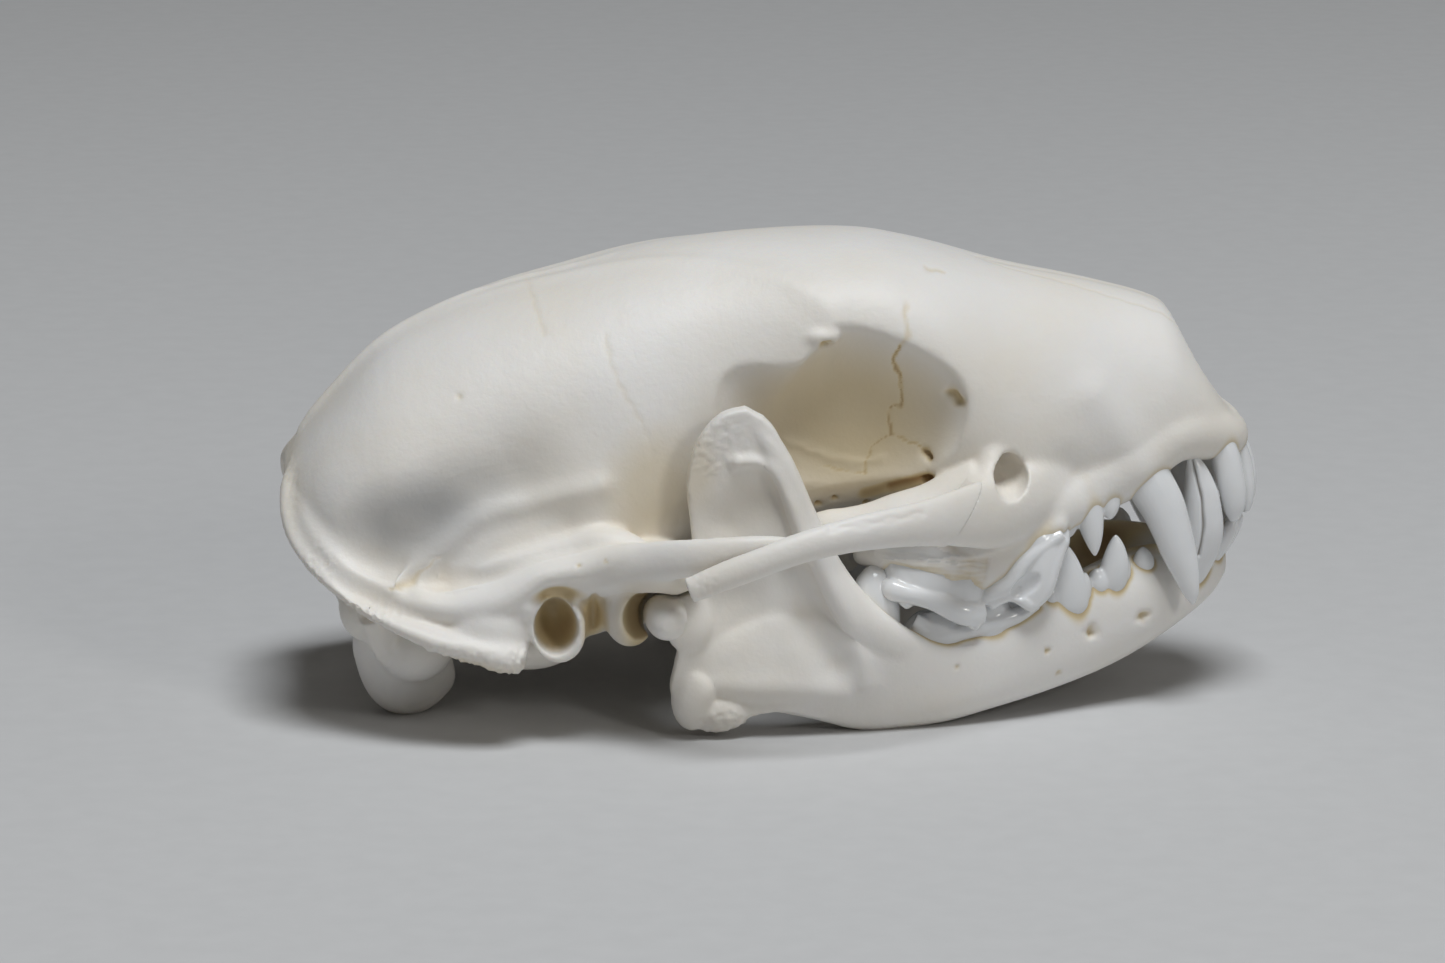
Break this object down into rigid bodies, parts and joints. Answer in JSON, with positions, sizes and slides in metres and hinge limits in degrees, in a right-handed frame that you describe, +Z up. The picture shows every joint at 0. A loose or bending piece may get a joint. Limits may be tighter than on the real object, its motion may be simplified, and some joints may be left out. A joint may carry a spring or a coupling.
{
  "type": "striped skunk skull",
  "caption": "Life-size skunk skull with its lower jaw nearly closed, bare bone, resting on the back of the skull and the jaw.",
  "frame": {"origin": "on the ground, under the middle of the skull's bounding box", "axes": "+X towards the snout, +Z up, so the animal's right side faces -Y"},
  "size_m": [0.075, 0.0465, 0.0356],
  "materials": {
    "bone": "satin"
  },
  "bodies": {
    "root": {"cranium": "bone", "jugal_right": "bone", "jugal_left": "bone", "mandible_right": "bone", "mandible_left": "bone"}
  },
  "joints": []
}
